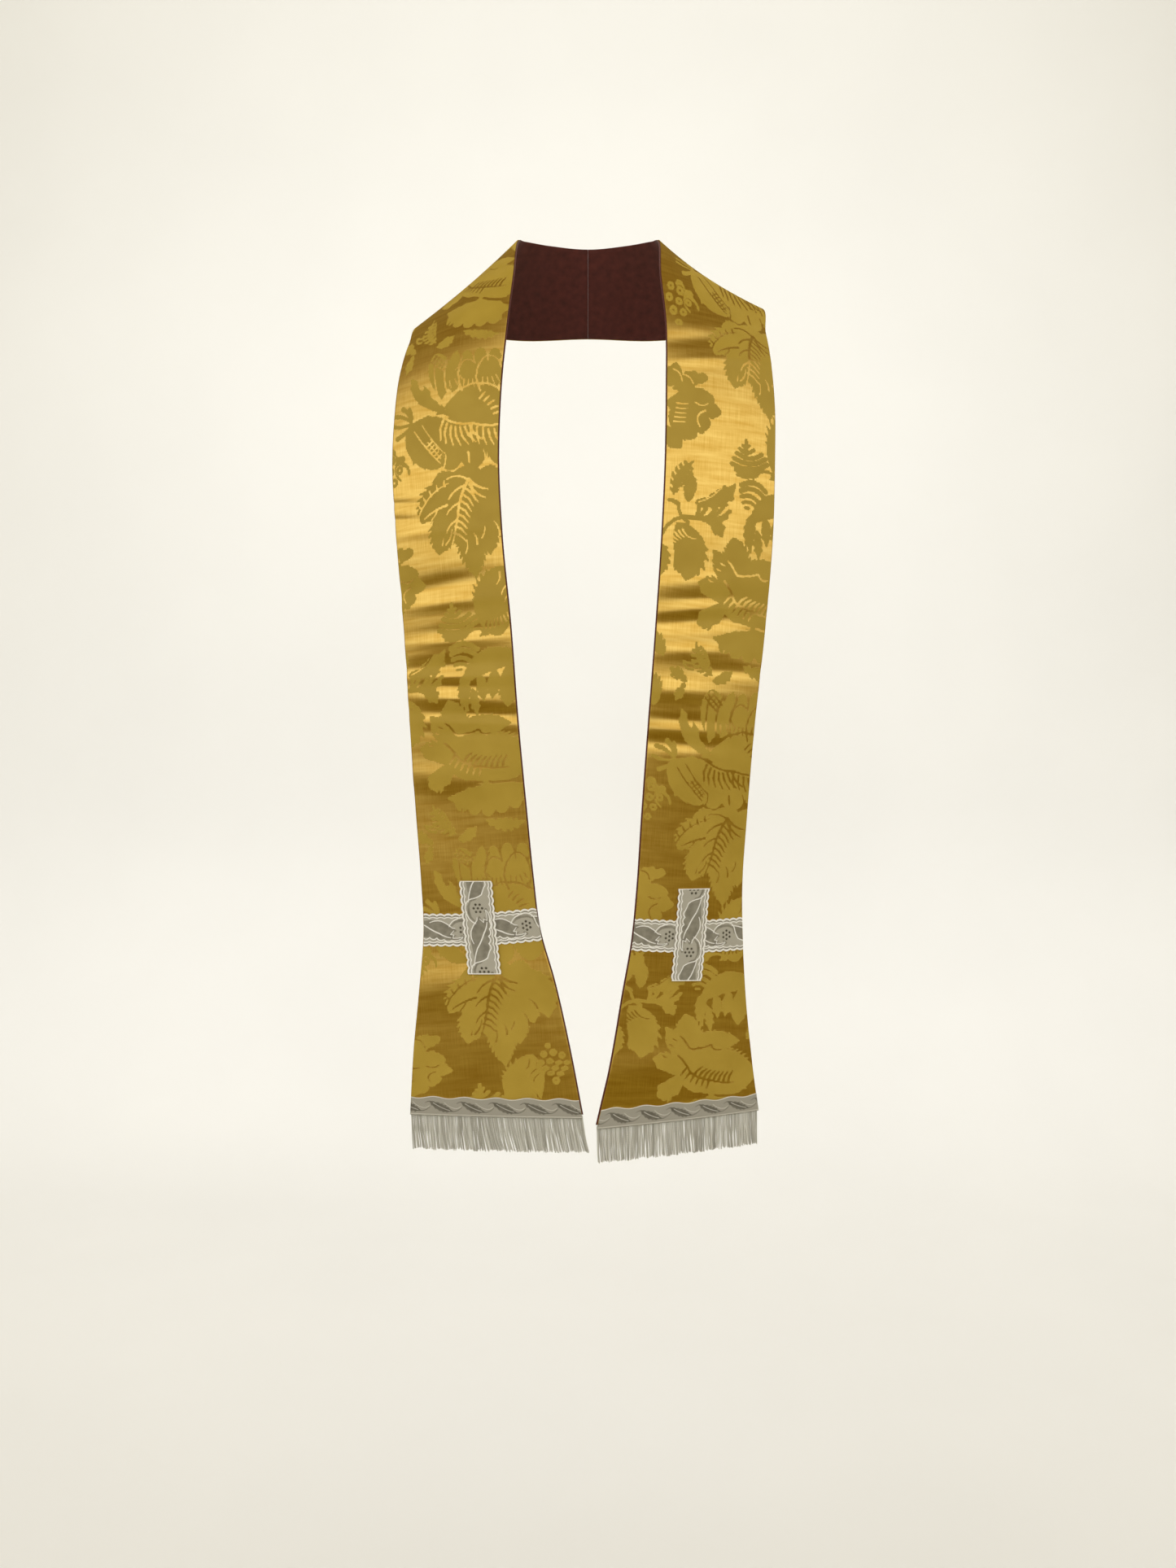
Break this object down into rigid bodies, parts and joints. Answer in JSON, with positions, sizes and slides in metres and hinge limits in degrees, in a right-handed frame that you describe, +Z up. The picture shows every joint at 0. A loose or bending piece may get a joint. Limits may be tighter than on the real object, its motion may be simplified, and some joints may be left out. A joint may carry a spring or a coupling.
{
  "type": "liturgical stole",
  "caption": "Lined damask stole in its worn form: a loop round the neck and two long bands with flared, fringed ends, each with a cross of lace strips.",
  "frame": {"origin": "on the lining at the centre of the back of the neck, where the stole rests on its wearer", "axes": "+Z up, -Y towards the front of the wearer, +X towards the wearer's left"},
  "size_m": [0.4246, 0.275, 1.0653],
  "materials": {
    "damask": "gold satin damask with matt floral figures",
    "lining": "plain dark red lining cloth",
    "lace": "ivory net lace with silver grey leaves",
    "fringe": "twisted silver grey rayon threads"
  },
  "bodies": {
    "root": {"face_left": "damask", "face_right": "damask", "lining_left": "lining", "lining_right": "lining", "cross_bar_left": "lace", "cross_bar_right": "lace", "cross_upright_left": "lace", "cross_upright_right": "lace", "braid_left": "lace", "braid_right": "lace", "fringe_left": "fringe", "fringe_right": "fringe"}
  },
  "joints": []
}
